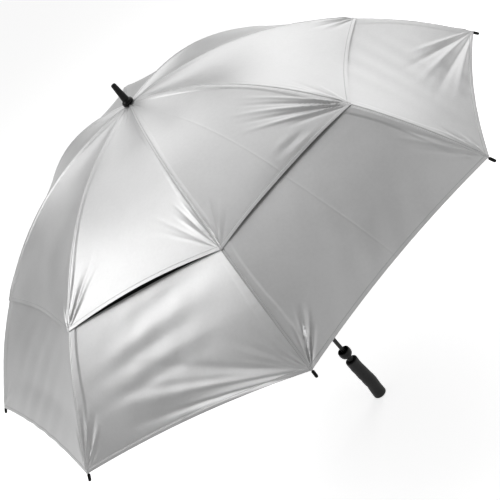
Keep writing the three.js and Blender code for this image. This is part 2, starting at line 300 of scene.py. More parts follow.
def drawn_rod(name, tone, roughness, metallic=0.0):
    """Black rod or tube, with the fine lengthwise lines of pulled fibre or drawn metal."""
    material, place, shader = new_material(name, Metallic=metallic, Specular_IOR_Level=0.3)
    stretched = place.node("ShaderNodeMapping", None, {"Vector": place, "Scale": (1200.0, 1200.0, 40.0)})
    lines = stretched.noise(1.0, 2.0).between(0.3, 0.7)
    feed(shader, "Base Color", lines.blend(grey(tone * 0.8), grey(tone * 1.3)))
    feed(shader, "Roughness", roughness + lines * 0.1)
    bump(shader, lines, 0.04 * MM, 0.4)
    return material


def soft_rubber():
    material, place, shader = new_material("soft_black_rubber", Specular_IOR_Level=0.25)
    cells = {"Vector": place, "Scale": 900.0}
    grain = place.node("ShaderNodeTexVoronoi", {"feature": "DISTANCE_TO_EDGE"}, cells)
    dust = place.noise(120.0, 4.0).between(0.4, 0.8)
    feed(shader, "Base Color", dust.blend(grey(0.010), grey(0.018)))
    feed(shader, "Roughness", 0.5 + dust * 0.16)
    bump(shader, grain, 0.2 * MM, 0.5)
    return material


def bright_steel():
    material, place, shader = new_material("bright_wire_steel", Metallic=1.0, Roughness=0.3)
    marks = place.noise(700.0, 3.0).between(0.35, 0.7)
    feed(shader, "Base Color", marks.blend(grey(0.42), grey(0.6)))
    feed(shader, "Roughness", 0.25 + marks * 0.15)
    return material


SILVER = silver_cloth("silver_coated_cloth", False)
# The lower cloth's finish, which carries the painted shade under the vent's overlap
SILVER_AND_VENT_SHADE = silver_cloth("silver_coated_cloth_and_net", True)
LINING = dark_lining()
FERRULE_PLASTIC = gloss_plastic("gloss_black_plastic")
RUNNER_PLASTIC = gloss_plastic("runner_black_plastic", 0.009, 0.38)
ROD_BLACK = drawn_rod("black_fibreglass", 0.02, 0.35)
SHAFT_BLACK = drawn_rod("black_lacquered_tube", 0.014, 0.25, 0.2)
STRETCHER_BLACK = drawn_rod("black_painted_steel", 0.03, 0.38, 0.5)
RUBBER = soft_rubber()
STEEL = bright_steel()

# ---------------------------------------------------------------- the shape of the cloth


def slope_angle(r):
    steep = DOME_RISE * DOME_POWER / RIM_RADIUS
    return np.arctan(steep * (r / RIM_RADIUS) ** (DOME_POWER - 1))


def dome_height(r):
    return RIM_HEIGHT + DOME_RISE * (1 - (r / RIM_RADIUS) ** DOME_POWER)


def smooth(x):
    x = np.clip(x, 0, 1)
    return x * x * (3 - 2 * x)


def bell(x, width):
    return np.exp(-(x / width) ** 2)


def ridge(u, v, angle, length, width, height):
    """One fold that starts at a corner of a panel, at u = v = 0, and widens and dies out as it goes.
    u runs across the panel from the rib and v in from the hem. The angle is in degrees from the rib,
    and the sizes are in millimetres."""
    turn = math.radians(angle)
    ahead = (u * math.sin(turn) + v * math.cos(turn)) / (length * MM)
    beside = u * math.cos(turn) - v * math.sin(turn)
    wide = width * MM * np.clip(0.28 + 0.72 * ahead, 0.2, 1.0)
    fade = smooth(ahead / 0.22) * (1 - smooth((ahead - 0.4) / 0.6))
    return height * MM * fade * bell(beside, wide)


def band(share, inward, distance, width, height, middle, spread):
    """One soft fold along the hem, at a distance in from it, on one stretch of the panel."""
    drift = distance * MM * (1 + 0.25 * (share - middle))
    return height * MM * bell(inward - drift, width * MM) * bell(share - middle, spread)


# Folds that run from the corners of the panels: (angle from the rib, length, width, height). A panel
# is counted from its first rib, and its corners are at its first and second ribs. Corners not named
# take the usual ones.
FIRST, SECOND = 0, 1
USUAL_TIP = [(7, 130, 4, -1.0), (17, 100, 5, 1.3), (29, 95, 5, -1.3), (41, 85, 5, 1.4),
             (54, 70, 5, -0.9)]
TIP_FOLDS = {
    (4, SECOND): [(10, 120, 4, -1.2), (20, 90, 5, 1.2), (35, 70, 5, 0.8)],
    (5, FIRST): [(8, 130, 4, -1.5), (16, 120, 5, 2.0), (25, 115, 4, -1.8), (34, 95, 5, 1.8),
                 (46, 60, 5, -0.8)],
    (5, SECOND): [(14, 110, 4, 0.8), (24, 120, 4, -0.9), (33, 120, 4, 1.0), (42, 150, 5, -0.9),
                  (50, 150, 5, 0.8),
                  (57, 140, 5, -0.7), (66, 420, 14, -0.8), (72, 430, 14, 0.9), (78, 440, 20, 3.6),
                  (84.5, 430, 13, -3.0)],
    (6, FIRST): [(17, 90, 3, 1.2), (27, 105, 4, -2.6), (35, 112, 4, 4.0), (43, 105, 3, -3.6),
                 (52, 80, 4, 2.0)],
    (6, SECOND): [(6, 190, 5, -1.8), (13, 170, 6, 1.8), (22, 130, 6, -1.6), (34, 80, 5, 1.0)],
    (7, FIRST): [(11, 120, 4, 1.4), (22, 110, 5, -1.5), (35, 90, 6, 1.3), (50, 70, 6, -0.8)],
    (7, SECOND): [(46, 220, 9, 1.2), (56, 280, 11, -1.8), (66, 320, 12, 2.0), (75, 350, 13, -2.4),
                  (83, 360, 13, 2.4)],
}
USUAL_VENT = [(9, 110, 4, 1.2), (21, 110, 5, -1.3), (34, 95, 5, 1.2), (48, 80, 6, -0.9)]
VENT_FOLDS = {
    (4, SECOND): [(12, 80, 4, 1.2), (26, 70, 4, -1.2), (40, 60, 5, 1.0)],
    (5, FIRST): [(8, 130, 4, -1.4), (18, 120, 4, 1.6), (27, 135, 4, -1.8), (36, 120, 5, 1.8),
                 (48, 80, 5, -0.9)],
    (5, SECOND): [(6, 150, 3, 1.2), (13, 140, 3, -1.4), (21, 120, 4, 1.4), (34, 150, 5, -0.6),
                  (46, 140, 5, 0.6)],
    (6, FIRST): [(10, 90, 3, 1.2), (22, 115, 5, -1.4), (35, 100, 5, 1.5), (50, 80, 6, -1.0)],
    (6, SECOND): [(10, 200, 4, 1.6), (17, 195, 4, -2.0), (25, 200, 5, 2.6), (34, 190, 5, -2.4),
                  (43, 185, 5, 2.6),
                  (53, 120, 6, -1.6)],
    (7, FIRST): [(9, 150, 4, 1.1), (19, 130, 5, -1.1), (33, 90, 5, 0.9)],
}

# Folds along a hem: (distance in from it, width, height, middle and spread as a share of the panel)
USUAL_BANDS = [(60, 26, -1.5, 0.5, 0.4), (150, 30, 1.0, 0.45, 0.4)]
RIM_BANDS = {
    4: [(90, 26, -2.0, 0.5, 0.4), (170, 26, 1.2, 0.45, 0.4)],
    5: [(95, 12, -1.0, 0.42, 0.22), (122, 12, 0.9, 0.5, 0.25), (148, 12, -1.0, 0.45, 0.25),
        (176, 13, 1.0, 0.5, 0.25),
        (212, 15, -1.6, 0.62, 0.25)],
    6: [(70, 40, 0.8, 0.5, 0.4)],
    7: [],
}
VENT_BANDS = {6: [(15, 6, 1.2, 0.69, 0.07), (30, 6, -1.2, 0.67, 0.07), (44, 7, 0.8, 0.64, 0.06)]}

# In millimetres, by panel: the lift of the vent's hem in the middle, the height of a slanting ripple,
# the height of the crease, and the height of the lap beside a seam
VENT_LIFT = {4: -6, 5: 2, 6: -7, 7: -7}
USUAL_LIFT = -4
SLANT = {4: 0.8, 5: 0.1, 6: 0.25, 7: 0.3}
USUAL_SLANT = 0.6
CREASES = {6: 0.16}
LAP = {(6, SECOND): 1.1}
USUAL_LAP = {FIRST: 1.1, SECOND: 0.3}


def corner_folds(table, usual, panel, first, second, inward):
    """All the folds that start at the two hem corners of a panel."""
    out = np.zeros_like(inward)
    for end, across in ((FIRST, first), (SECOND, second)):
        for angle, length, width, height in table.get((panel, end), usual):
            out += ridge(across, inward, angle, length, width, height)
    return out


def seam_shape(panel, first, second, inward, lap_width):
    """The sewn groove over each rib, the cloth lapped beside it, and faint puckers along the thread."""
    out = np.zeros_like(inward)
    for end, across in ((FIRST, first), (SECOND, second)):
        lap = LAP.get((panel, end), USUAL_LAP[end]) * smooth(inward / (30 * MM))
        edge = lap_width * (1 + 0.2 * np.sin(inward / (37 * MM) + panel))
        out += lap * MM * (smooth((across - 2 * MM) / (2 * MM)) - smooth((across - edge) / (3 * MM)))
        out += -0.9 * MM * bell(across, 1.6 * MM)
        drift = np.sin(inward / (31 * MM) + panel + end)
        pucker = np.sin(math.tau * inward / (19 * MM) + 1.6 * drift)
        clear = smooth(across / (3 * MM)) * smooth((inward - 40 * MM) / (60 * MM))
        out += 0.2 * MM * pucker * np.exp(-across / (7 * MM)) * clear
    return out


def hem_shape(inward):
    """The hem, turned over and stitched down, so it is a little thicker."""
    turned_over = 0.5 * MM * (1 - smooth((inward - 6.5 * MM) / (2 * MM)))
    return turned_over - 0.25 * MM * bell(inward - HEM_STITCH, 1.2 * MM)


def crease_shape(panel, share, width):
    """The crease that folding for sale has left down the middle of a panel."""
    return CREASES.get(panel, 0.0) * MM * bell((share - 0.5) * width, 1.8 * MM)


def folds_of_skirt(panel, share, r, inward, width):
    """How far the lower cloth stands out from its drawn shape. share runs from 0 at a panel's first rib
    to 1 at its second, width is the panel's width there, and inward is the distance in from the hem."""
    first, second = share * width, (1 - share) * width
    out = corner_folds(TIP_FOLDS, USUAL_TIP, panel, first, second, inward)
    for place in RIM_BANDS.get(panel, USUAL_BANDS):
        out += band(share, inward, *place)
    middle = np.sin(math.pi * share) ** 2
    lean = first - 0.55 * inward
    out += SLANT.get(panel, USUAL_SLANT) * MM * np.sin(math.tau * lean / (68 * MM)) * middle
    out += crease_shape(panel, share, width)
    return out + seam_shape(panel, first, second, inward, 17 * MM) + hem_shape(inward)


def folds_of_top(panel, share, r, inward, width):
    """The same for the upper cloth."""
    first, second = share * width, (1 - share) * width
    out = corner_folds(VENT_FOLDS, USUAL_VENT, panel, first, second, inward)
    for place in VENT_BANDS.get(panel, ()):
        out += band(share, inward, *place)
    middle = np.sin(math.pi * share) ** 2
    out += VENT_LIFT.get(panel, USUAL_LIFT) * MM * middle * np.exp(-inward / (35 * MM))
    away = smooth((r - 30 * MM) / (90 * MM))
    gathers = np.sin(math.tau * share * 4 + panel) * 0.5 * MM * bell(r - 34 * MM, 30 * MM)
    sewn = seam_shape(panel, first, second, inward, 8 * MM) + crease_shape(panel, share, width)
    return out + gathers * middle + sewn * away + hem_shape(inward)



def cloth_points(rib, across, along, start, end, hollow, drop, sag, folds):
    """Places on one rib's petal of cloth, with their flat-cloth coordinates. across runs from -1 at the
    crease on one side, over the rib at 0, to 1 at the other. along runs from 0 at the top to 1 at the
    hem."""
    reach = np.abs(across)
    side = np.where(across < 0, -1.0, 1.0)
    full = 1 - (1 - reach) ** 2
    hem_radius = end - hollow * full
    r = start + (hem_radius - start) * along
    angle = slope_angle(r)
    inward = (hem_radius - r) / np.cos(angle)
    width = 2 * math.sin(HALF_PANEL) * r
    stand = np.zeros_like(r)
    past_vent_shade_start = np.zeros_like(r)
    for sign, panel in ((1, rib % RIBS), (-1, (rib - 1) % RIBS)):
        share = reach / 2 if sign > 0 else 1 - reach / 2
        stand = np.where(side == sign, folds(panel, share, r, inward, width), stand)
        # Where the painted shade under the vent's overlap starts, in from the hem
        edge = VENT_SHADE_FROM - VENT_SHADE_SLACK.get(panel, 0.0) * bell(share - VENT_SHADE_SLACK_MIDDLE, VENT_SHADE_SLACK_SPREAD)
        past_vent_shade_start = np.where(side == sign, inward - edge, past_vent_shade_start)
    crown = CROWN_HOLLOW * bell(r - CROWN_HOLLOW_RADIUS, CROWN_HOLLOW_REACH)
    down = drop + (sag(along) + crown) * full - stand
    turn = HALF_PANEL * across
    x = r * (1 - CHORD_PULL * reach) - down * np.sin(angle) * np.cos(turn)
    y = r * CHORD_SIDE * across - down * np.sin(angle) * np.sin(turn)
    z = dome_height(r) - down * np.cos(angle)
    heading = SECTOR * rib
    east = x * math.cos(heading) - y * math.sin(heading)
    north = x * math.sin(heading) + y * math.cos(heading)
    cloth = np.stack([across * width / 2, inward], -1)
    # The second map measures the distance past the start of the painted shade under the vent
    net = np.stack([past_vent_shade_start, inward], -1)
    return np.stack([east, north, z], -1), {"cloth": cloth, "net": net}


def cloth_sheet(name, columns, rows, shape, outside):
    """A grid laid over a shape of cloth, given thickness, silver outside and black inside."""
    clear_selection()
    bpy.ops.mesh.primitive_grid_add(x_subdivisions=len(columns) - 1, y_subdivisions=len(rows) - 1, size=2)
    sheet = bpy.context.object
    sheet.name = name
    sheet.data.name = name
    flat = np.empty(len(sheet.data.vertices) * 3)
    sheet.data.vertices.foreach_get("co", flat)
    flat = flat.reshape(-1, 3)
    column = np.rint((flat[:, 0] + 1) / 2 * (len(columns) - 1)).astype(int)
    row = np.rint((flat[:, 1] + 1) / 2 * (len(rows) - 1)).astype(int)
    places, maps = shape(columns[column], rows[row])
    sheet.data.vertices.foreach_set("co", places.ravel())
    while sheet.data.uv_layers:
        sheet.data.uv_layers.remove(sheet.data.uv_layers[0])
    corners = np.empty(len(sheet.data.loops), int)
    sheet.data.loops.foreach_get("vertex_index", corners)
    for word, flat_places in maps.items():
        layer = sheet.data.uv_layers.new(name=word)
        layer.data.foreach_set("uv", flat_places[corners].ravel())
    sheet.data.materials.append(outside)
    sheet.data.materials.append(LINING)
    face_outward(sheet)
    thicken = sheet.modifiers.new("thickness", "SOLIDIFY")
    thicken.thickness = CLOTH
    thicken.offset = -1
    thicken.material_offset = 1
    thicken.material_offset_rim = 0
    bpy.ops.object.modifier_apply(modifier="thickness")
    bpy.ops.object.shade_smooth_by_angle(angle=math.radians(50))
    return sheet


def face_outward(sheet):
    """Turns the sheet over if its faces look down at the floor."""
    sheet.data.update()
    lifted = sum(face.normal.z * face.area for face in sheet.data.polygons)
    if lifted < 0:
        clear_selection()
        sheet.select_set(True)
        bpy.context.view_layer.objects.active = sheet
        bpy.ops.object.mode_set(mode="EDIT")
        bpy.ops.mesh.select_all(action="SELECT")
        bpy.ops.mesh.flip_normals()
        bpy.ops.object.mode_set(mode="OBJECT")


def rib_axes(rib):
    """Unit vectors away from the shaft and sideways, at a rib."""
    heading = SECTOR * rib
    out = Vector((math.cos(heading), math.sin(heading), 0))
    return out, Vector((-out.y, out.x, 0))


LEFT, RIGHT = 1, -1
SIDES = {LEFT: "left", RIGHT: "right"}


def top_sag(along):
    return TOP_SAG * np.sin(math.pi * along)


def skirt_sag(along):
    return SKIRT_SAGS[0] + (SKIRT_SAGS[1] - SKIRT_SAGS[0]) * along


def top_shape(rib):
    def shape(across, along):
        radii = (CROWN_HOLE, VENT_RADIUS, TOP_HOLLOW)
        return cloth_points(rib, across, along, *radii, TOP_DROP, top_sag, folds_of_top)
    return shape


def skirt_shape(rib):
    def shape(across, along):
        radii = (SKIRT_START, RIM_RADIUS, SKIRT_HOLLOW)
        return cloth_points(rib, across, along, *radii, SKIRT_DROP, skirt_sag, folds_of_skirt)
    return shape


def cloth_axis(rib, side, start, end, tilt):
    """A direction for a half petal: square to its rib, tilted in towards the shaft."""
    out, sideways = rib_axes(rib)
    outward = sideways.cross(end - start).normalized()
    if outward.z < 0:
        outward = -outward
    return sideways * side * CHORD_SIDE - outward * CHORD_PULL * out.dot(outward) * tilt


def half_petal(layer, rib, side, cloth, body, tilt):
    """The cloth between a rib's seam and the crease on one side of it. Its grid lines are closest at the
    seam, at the crease and at the hem."""
    columns, rows, shape, outside, start_radius, end_radius = cloth
    half = np.concatenate([0.97 * np.linspace(0, 1, columns - 3) ** 1.6, [0.982, 0.991, 0.997, 1.0]])
    across = half if side == LEFT else -half[::-1]
    along = 1 - np.linspace(1, 0, rows + 1) ** 1.4
    sheet = cloth_sheet(f"canopy_{layer}_cloth_{rib + 1}_{SIDES[side]}", across, along, shape(rib), outside)
    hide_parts(f"canopy_{layer}_{rib + 1}")
    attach(sheet, body)
    start, end = rib_line(rib, start_radius, 0), rib_line(rib, end_radius, 0)
    axis = cloth_axis(rib, side, start, end, tilt)
    (start + end) / 2
    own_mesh(sheet)


def rib_line(rib, r, drop):
    """A point under the cloth over a rib, at a distance from the shaft."""
    out, _ = rib_axes(rib)
    angle = float(slope_angle(r))
    height = float(dome_height(r)) - drop * math.cos(angle)
    return out * (r - drop * math.sin(angle)) + Vector((0, 0, height))


# Each cloth: its grid's columns and rows, its shape, its outer finish, and the radii it runs between
TOP_CLOTH = (TOP_COLUMNS, TOP_ROWS, top_shape, SILVER, CROWN_HOLE, VENT_RADIUS)
SKIRT_CLOTH = (SKIRT_COLUMNS, SKIRT_ROWS, skirt_shape, SILVER_AND_VENT_SHADE, SKIRT_START, RIM_RADIUS)
# For each layer, a share of a half petal's width meant for the closed umbrella, and how far the direction
# from cloth_axis tilts inwards
TOP_KEEP, TOP_TILT = 0.25, 0.0
SKIRT_KEEP, SKIRT_TILT = 0.1, 1.0

for rib in range(RIBS):
    name = f"rib_{rib + 1}"
    for side in SIDES:
        half_petal("top", rib, side, TOP_CLOTH, name, TOP_TILT)
        half_petal("skirt", rib, side, SKIRT_CLOTH, f"{name}_end", SKIRT_TILT)

# ---------------------------------------------------------------- turned pieces

CORNER_STEPS = 5


def turned(name, outline, material, sides=64):
    """A piece turned about the shaft: a ring extruded and resized along an outline of (radius, height)."""
    clear_selection()
    points = [point for point in outline if point[0] > 0]
    (r, z), rest = points[0], points[1:]
    bpy.ops.mesh.primitive_circle_add(vertices=sides, radius=r, fill_type="NOTHING", location=(0, 0, z))
    piece = bpy.context.object
    piece.name = name
    piece.data.name = name
    bpy.ops.object.transform_apply(location=True)
    bpy.ops.object.mode_set(mode="EDIT")
    bpy.ops.mesh.select_mode(type="EDGE")
    bpy.ops.mesh.select_all(action="SELECT")
    for next_r, next_z in rest:
        bpy.ops.mesh.extrude_edges_move(TRANSFORM_OT_translate={"value": (0, 0, next_z - z)})
        scale = next_r / r
        bpy.ops.transform.resize(value=(scale, scale, 1), center_override=(0, 0, next_z))
        r, z = next_r, next_z
    bpy.ops.mesh.select_all(action="SELECT")
    bpy.ops.mesh.remove_doubles(threshold=0.00001)
    bpy.ops.mesh.fill_holes(sides=0)
    bpy.ops.mesh.normals_make_consistent(inside=False)
    bpy.ops.object.mode_set(mode="OBJECT")
    finish_piece(piece, material)
    return piece


def finish_piece(piece, material, angle=35):
    piece.data.materials.clear()
    piece.data.materials.append(material)
    piece.select_set(True)
    bpy.context.view_layer.objects.active = piece
    bpy.ops.object.shade_smooth_by_angle(angle=math.radians(angle))


def rounded(outline):
    """An outline of (radius, height, corner size) in millimetres, in metres and with rounded corners."""
    places = [Vector((r, z)) for r, z, _ in outline]
    points = [places[0]]
    for before, here, after, (_, _, size) in zip(places, places[1:], places[2:], outline[1:]):
        back, ahead = before - here, after - here
        size = min(size, 0.45 * back.length, 0.45 * ahead.length)
        if size == 0:
            points.append(here)
            continue
        enter, leave = here + back.normalized() * size, here + ahead.normalized() * size
        for i in range(CORNER_STEPS + 1):
            t = i / CORNER_STEPS
            points.append(enter * (1 - t) ** 2 + here * 2 * t * (1 - t) + leave * t ** 2)
    points.append(places[-1])
    return [(point.x * MM, point.y * MM) for point in points]


def add_turned(name, outline, body, node, material):
    """A turned piece that stands for one node and moves with one body."""
    piece = turned(name, rounded(outline), material)
    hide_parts(node)
    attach(piece, body)


# Sizes of the turned pieces, in millimetres, with heights from the grip's end
BORE = 5.3
SHAFT_BORE = 4.2
FERRULE_LOW = 961.7
FERRULE_HIGH = 1013.7
CUP_LOW = 143.5
CUP_MOUTH = 165.2
GRIP_TOP = 131
RUNNER_LOW = 700
RUNNER_HIGH = 757
NOTCH_LOW = 949.5
NOTCH_HIGH = 958.6

add_turned("shaft_lacquered_tube", [
    (SHAFT_BORE, 26, 0), (5, 26, 0.3), (5, 984.5, 0.3), (SHAFT_BORE, 984.5, 0), (SHAFT_BORE, 26, 0),
], "shaft", "shaft_tube", SHAFT_BLACK)

add_turned("ferrule_moulding", [
    (0.6, 984.8, 0), (BORE, 984.8, 0), (BORE, FERRULE_LOW, 0), (12.2, FERRULE_LOW, 0.5),
    (12.7, FERRULE_LOW + 1.2, 0.6),
    (12.7, FERRULE_LOW + 5.5, 1.4), (11.2, FERRULE_LOW + 8.2, 1.5), (8.7, FERRULE_LOW + 9.4, 1.0),
    (8.1, FERRULE_LOW + 12, 1.2), (5.6, FERRULE_HIGH - 2, 1.6), (4.2, FERRULE_HIGH - 0.4, 1.2),
    (2.2, FERRULE_HIGH, 0.8), (0.6, FERRULE_HIGH, 0),
], "shaft", "ferrule", FERRULE_PLASTIC)

add_turned("cup_moulding", [
    (BORE, CUP_LOW, 0), (8.2, CUP_LOW, 0.8), (11.8, CUP_LOW + 1.6, 2), (14.7, CUP_LOW + 5.2, 3),
    (16, CUP_LOW + 10, 3), (16.2, CUP_LOW + 14.5, 2), (15.7, CUP_MOUTH - 2.5, 1.5),
    (14.7, CUP_MOUTH, 0.8),
    (13.7, CUP_MOUTH, 0.5), (13.9, CUP_LOW + 15, 2), (13.2, CUP_LOW + 9, 3), (10.6, CUP_LOW + 4.8, 2),
    (BORE, CUP_LOW + 3.8, 0), (BORE, CUP_LOW, 0),
], "shaft", "tip_cup", FERRULE_PLASTIC)

add_turned("neck_moulding", [
    (BORE, GRIP_TOP - 7, 0), (8.2, GRIP_TOP - 7, 0.4), (7.8, GRIP_TOP, 2), (7.2, CUP_LOW - 4, 2),
    (7.7, CUP_LOW - 0.3, 0.6),
    (BORE, CUP_LOW - 0.3, 0), (BORE, GRIP_TOP - 7, 0),
], "shaft", "neck_collar", RUNNER_PLASTIC)

add_turned("crown_moulding", [
    (BORE, NOTCH_LOW, 0), (13.6, NOTCH_LOW, 0.6), (15, NOTCH_LOW + 1.5, 0.6),
    (15, NOTCH_HIGH - 1.2, 0.5),
    (13.8, NOTCH_HIGH, 0.5), (BORE, NOTCH_HIGH, 0), (BORE, NOTCH_LOW, 0),
], "shaft", "crown_notch", RUNNER_PLASTIC)

add_turned("runner_moulding", [
    (5.4, RUNNER_LOW, 0), (11.4, RUNNER_LOW, 0.8), (11.4, RUNNER_LOW + 4, 1.2), (10, RUNNER_LOW + 8, 2),
    (9.6, RUNNER_LOW + 24, 4), (10, RUNNER_HIGH - 16, 2), (12.2, RUNNER_HIGH - 13, 1),
    (12.2, RUNNER_HIGH - 1, 0.6),
    (11.2, RUNNER_HIGH, 0.5), (5.4, RUNNER_HIGH, 0), (5.4, RUNNER_LOW, 0),
], "runner", "runner", RUNNER_PLASTIC)

# ---------------------------------------------------------------- grip

GRIP_GROOVES = (42, 67, 92, 115)
GROOVE_RADIUS = 16
GROOVE_CENTRE = -30.8
GRIP_SKIN_FROM = 13
# Where the skin stands off the axis: (height, reach, how far)
GRIP_SHAPE = ((46, 24, 2), (110, 16, -1.2))
GRIP_WALL_HEIGHTS = (14, 24, 34, 46, 56, 74, 92, 108, 120, 127)
GRIP_WALL = (16.6, 16.1, 16, 16.5, 16.6, 16.2, 15.8, 15.6, 15.7, 15.9)


def grip_shift(height):
    """How far the grip's skin stands off the shaft's axis, toward +X."""
    return sum(shift * bell(height - middle, reach) for middle, reach, shift in GRIP_SHAPE)


def grip():
    """A rubber body, turned, then shaped to the palm, with shallow finger grooves across one side."""
    heights = np.linspace(18, 124, 70)
    radii = np.interp(heights, GRIP_WALL_HEIGHTS, GRIP_WALL)
    outline = [(0.6, 0, 0), (9, 0, 0.8), (14.6, 0.9, 1.2), (16.4, 2.6, 1), (16.8, 6, 2)]
    outline += [(radius, height, 0) for radius, height in zip(radii, heights)]
    outline += [(15.9, 127, 1), (15.3, 130, 0.6), (13.6, GRIP_TOP, 0.5), (9.6, GRIP_TOP - 1.2, 0.8),
                (9, GRIP_TOP - 7.6, 0.5), (BORE, GRIP_TOP - 7.6, 0), (BORE, 22, 0), (0.6, 22, 0)]
    piece = turned("grip_moulding", rounded(outline), RUBBER, 96)
    for vertex in piece.data.vertices:
        if math.hypot(vertex.co.x, vertex.co.y) > GRIP_SKIN_FROM * MM:
            vertex.co.x += grip_shift(vertex.co.z / MM) * MM
        for height in GRIP_GROOVES:
            rise = vertex.co.z / MM - height
            if abs(rise) < GROOVE_RADIUS:
                limit = grip_shift(height) + GROOVE_CENTRE + math.sqrt(GROOVE_RADIUS ** 2 - rise ** 2)
                vertex.co.x = max(vertex.co.x, limit * MM)
    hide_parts("grip")
    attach(piece, "shaft")


grip()

# ---------------------------------------------------------------- ribs, made at the first rib and copied

TIP_BORE = 2.1
SIDEWAYS = Vector((0, 1, 0))
PIN_SIDES = 24
BAR_SIDES = 16


def heading_of(vector):
    """How far a direction in the first rib's plane points down from level."""
    return math.atan2(-vector.z, vector.x)


def swept(name, points, radii, material):
    """A round bar in the first rib's plane: a disc, extruded from point to point and turned to follow."""
    clear_selection()
    bpy.ops.mesh.primitive_circle_add(vertices=BAR_SIDES, radius=radii[0], fill_type="NGON")
    bar = bpy.context.object
    bar.name = name
    bar.data.name = name
    bar.location = points[0]
    bar.rotation_euler.y = math.pi / 2 + heading_of(points[1] - points[0])
    bpy.ops.object.transform_apply(location=True, rotation=True)
    bpy.ops.object.mode_set(mode="EDIT")
    bpy.ops.mesh.select_mode(type="FACE")
    bpy.ops.mesh.select_all(action="SELECT")
    heading = heading_of(points[1] - points[0])
    for i in range(1, len(points)):
        bpy.ops.mesh.extrude_region_move(TRANSFORM_OT_translate={"value": points[i] - points[i - 1]})
        ahead = heading_of(points[min(i + 1, len(points) - 1)] - points[i - 1])
        bpy.ops.transform.rotate(value=heading - ahead, orient_axis="Y", center_override=points[i])
        scale = radii[i] / radii[i - 1]
        bpy.ops.transform.resize(value=(scale, scale, scale), center_override=points[i])
        heading = ahead
    bpy.ops.mesh.select_all(action="SELECT")
    bpy.ops.mesh.normals_make_consistent(inside=False)
    bpy.ops.object.mode_set(mode="OBJECT")
    finish_piece(bar, material, 50)
    return bar


def cross_disc(at, radius, start_y, end_y):
    """A round disc or pin that lies across the first rib, with softened edges."""
    clear_selection()
    bpy.ops.mesh.primitive_cylinder_add(vertices=PIN_SIDES, radius=radius, depth=end_y - start_y)
    disc = bpy.context.object
    disc.rotation_euler.x = math.pi / 2
    disc.location = (at.x, (start_y + end_y) / 2, at.z)
    bpy.ops.object.transform_apply(location=True, rotation=True)
    soften(disc, min(0.25 * (end_y - start_y), 0.3 * radius, 0.4 * MM))
    return disc


def bar_between(start, end, width, height):
    """A flat strap in the first rib's plane, between two points."""
    clear_selection()
    bpy.ops.mesh.primitive_cube_add(size=1)
    strap = bpy.context.object
    strap.scale = ((end - start).length, width, height)
    strap.rotation_euler.y = heading_of(end - start)
    strap.location = (start + end) / 2
    bpy.ops.object.transform_apply(location=True, rotation=True, scale=True)
    soften(strap, 0.2 * min(width, height))
    return strap


def soften(piece, width):
    """Rounds the edges of a piece."""
    bevel = piece.modifiers.new("edges", "BEVEL")
    bevel.width = width
    bevel.segments = 3
    bevel.limit_method = "ANGLE"
    bpy.ops.object.modifier_apply(modifier="edges")


def joined(name, parts, material):
    """Several parts made one piece."""
    clear_selection()
    for part in parts:
        part.select_set(True)
    bpy.context.view_layer.objects.active = parts[0]
    bpy.ops.object.join()
    piece = bpy.context.object
    piece.name = name
    piece.data.name = name
    finish_piece(piece, material)
    return piece


def turned_copies(piece):
    """The piece, which was made at the first rib, and a copy of it at each of the others."""
    name = piece.name
    made = [piece]
    for rib in range(1, RIBS):
        clear_selection()
        piece.select_set(True)
        bpy.context.view_layer.objects.active = piece
        bpy.ops.object.duplicate(linked=False)
        copy = bpy.context.object
        copy.name = f"{name}_{rib + 1}"
        copy.data.name = copy.name
        copy.rotation_euler.z = SECTOR * rib
        bpy.ops.object.transform_apply(location=False, rotation=True, scale=False)
        made.append(copy)
    piece.name = f"{name}_1"
    piece.data.name = piece.name
    return made


def lay_along(piece, start, direction):
    """Lays a piece that was made up the Z axis along a direction in the first rib's plane."""
    clear_selection()
    piece.select_set(True)
    bpy.context.view_layer.objects.active = piece
    piece.rotation_euler.y = math.pi / 2 + heading_of(direction)
    piece.location = start
    bpy.ops.object.transform_apply(location=True, rotation=True)


def under(r, drop):
    return rib_line(0, r, drop)


def along_rib(r):
    angle = float(slope_angle(r))
    return Vector((math.cos(angle), 0, -math.sin(angle)))


def rib_rod():
    """The glass-fibre rod of a rib, thinner towards its tip."""
    inner = np.linspace(ROD_START, VENT_RADIUS, 30)
    outer = np.linspace(VENT_RADIUS, RIM_RADIUS, 16)[1:]
    radii = np.concatenate([inner, outer])
    points = [under(r, ROD_DROP) for r in radii]
    points.append(points[-1] + along_rib(RIM_RADIUS) * 8 * MM)
    thick = [ROD_RADIUS - 0.3 * MM * i / len(points) for i in range(len(points))]
    for rib, rod in enumerate(turned_copies(swept("rib_rod", points, thick, ROD_BLACK))):
        name = f"rib_{rib + 1}"
        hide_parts(f"rib_inner_{rib + 1}", f"rib_outer_{rib + 1}")
        start = rib_line(rib, FLEX_RADIUS - FLEX_REACH, ROD_DROP)
        end = rib_line(rib, FLEX_RADIUS + FLEX_REACH, ROD_DROP)
        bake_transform(rod)


